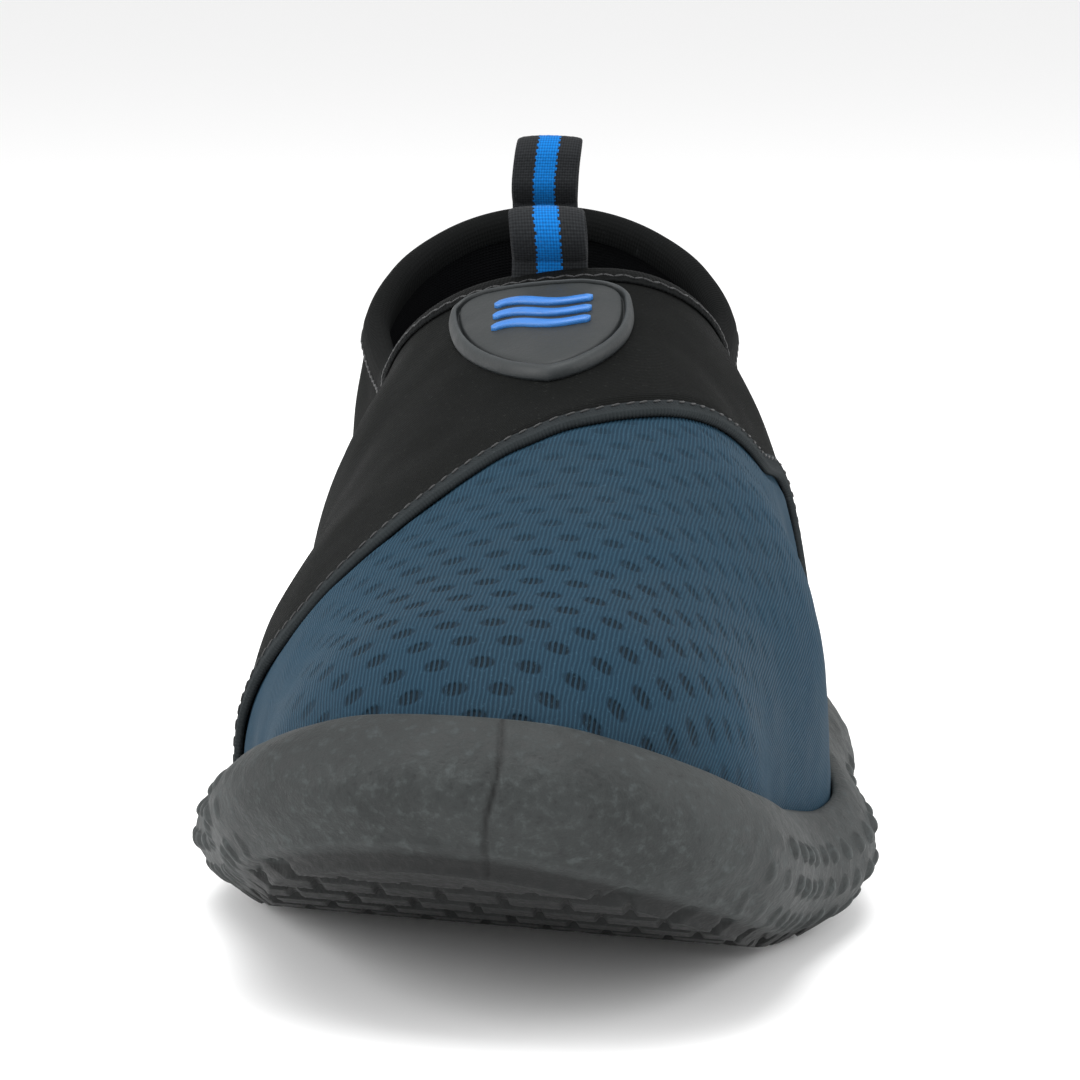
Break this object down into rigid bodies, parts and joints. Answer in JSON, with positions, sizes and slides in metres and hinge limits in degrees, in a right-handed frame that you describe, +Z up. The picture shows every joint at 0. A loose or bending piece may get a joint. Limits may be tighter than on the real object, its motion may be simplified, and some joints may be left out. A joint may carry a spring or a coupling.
{
  "type": "water shoe",
  "caption": "Low slip-on neoprene water shoe for the right foot, with a rubber cup sole, mesh toe, rubber badge and webbing pull tabs at the front and heel.",
  "frame": {"origin": "on the sole's ground face, at the middle of the shoe's length", "axes": "+Y towards the heel, +X towards the inner (big toe) side, +Z up"},
  "size_m": [0.1079, 0.2769, 0.108],
  "materials": {
    "sole_rubber": "matte moulded rubber, mottled and slightly dusty",
    "neoprene": "charcoal knit-faced neoprene",
    "mesh": "navy spacer mesh with rows of dimples",
    "board": "grey non-woven board",
    "footbed": "foam with a black knit top",
    "tape": "charcoal knit tape",
    "thread": "charcoal polyester thread",
    "badge_rubber": "matte grey moulded rubber",
    "blue_rubber": "satin blue rubber",
    "webbing": "woven webbing with a blue centre stripe"
  },
  "bodies": {
    "shoe": {"outsole": "sole_rubber", "neoprene_quarters": "neoprene", "vamp_mesh": "mesh", "vamp_backing": "neoprene", "insole_board": "board", "footbed": "footbed", "vamp_seam_tape": "tape", "vamp_seam_stitches": "thread", "collar_binding": "tape", "heel_seam_tape": "tape", "badge": "badge_rubber", "badge_mark": "blue_rubber"},
    "front_tab": {"front_pull_tab": "webbing"},
    "rear_tab": {"rear_pull_tab": "webbing"}
  },
  "joints": [
    {"name": "front_tab_flex", "type": "hinge", "parent": "shoe", "child": "front_tab", "pos_m": [-0.001, 0.0093, 0.0966], "axis": [1, 0, 0], "range_deg": [-40, 40], "stiffness_Nm_per_rad": 0.002},
    {"name": "rear_tab_flex", "type": "hinge", "parent": "shoe", "child": "rear_tab", "pos_m": [-0.0086, 0.1252, 0.0952], "axis": [1, 0, 0], "range_deg": [-40, 40], "stiffness_Nm_per_rad": 0.002}
  ]
}
